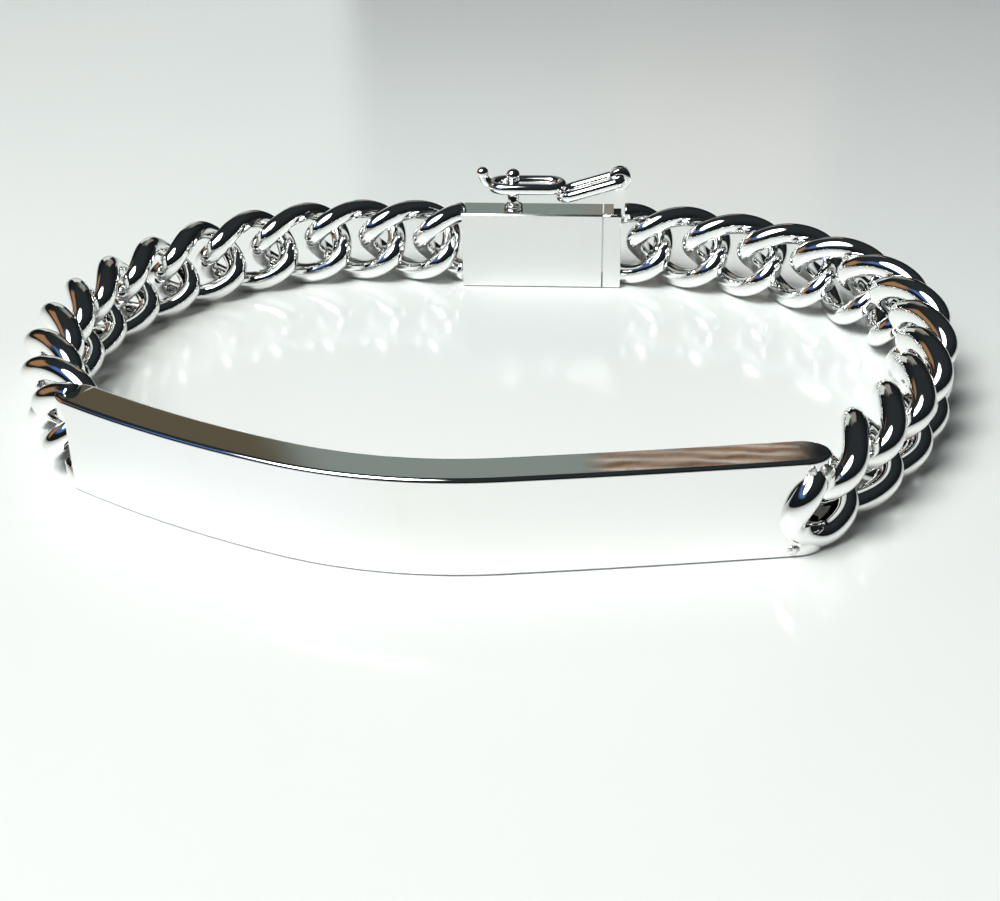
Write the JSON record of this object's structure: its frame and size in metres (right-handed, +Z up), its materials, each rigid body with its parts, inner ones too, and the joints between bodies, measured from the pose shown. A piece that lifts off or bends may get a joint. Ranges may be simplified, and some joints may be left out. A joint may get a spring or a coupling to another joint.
{
  "type": "id bracelet",
  "caption": "Polished silver identity bracelet with a thick plain curved plate, heavy curb chain and a box clasp with a figure-eight safety catch, closed and standing on its edge.",
  "frame": {"origin": "bottom centre of the bounding box, on the surface the bracelet stands on", "axes": "+Z up through the wrist hollow, the plate at -Y, the clasp at +Y, +X to the right of the plate seen from the front"},
  "size_m": [0.0716, 0.0546, 0.0109],
  "materials": {
    "plate": "mirror-polished silver, plain",
    "chain": "mirror-polished silver wire",
    "clasp": "polished silver with a soft sheen",
    "catch": "polished silver wire"
  },
  "bodies": {
    "bracelet": {"id_plate": "plate", "clasp_box": "clasp", "clasp_tongue": "clasp", "link_right_01": "chain", "link_right_02": "chain", "link_right_03": "chain", "link_right_04": "chain", "link_right_05": "chain", "link_right_06": "chain", "link_right_07": "chain", "link_right_08": "chain", "link_right_09": "chain", "link_right_10": "chain", "link_right_11": "chain", "link_left_01": "chain", "link_left_02": "chain", "link_left_03": "chain", "link_left_04": "chain", "link_left_05": "chain", "link_left_06": "chain", "link_left_07": "chain", "link_left_08": "chain", "link_left_09": "chain", "link_left_10": "chain", "link_left_11": "chain"},
    "catch": {"safety_catch": "catch"}
  },
  "joints": [
    {"name": "safety_catch_hinge", "type": "hinge", "parent": "bracelet", "child": "catch", "pos_m": [0.01185, 0.02265, 0.0099], "axis": [0.0872, 0.9962, 0], "range_deg": [0, 120]}
  ]
}
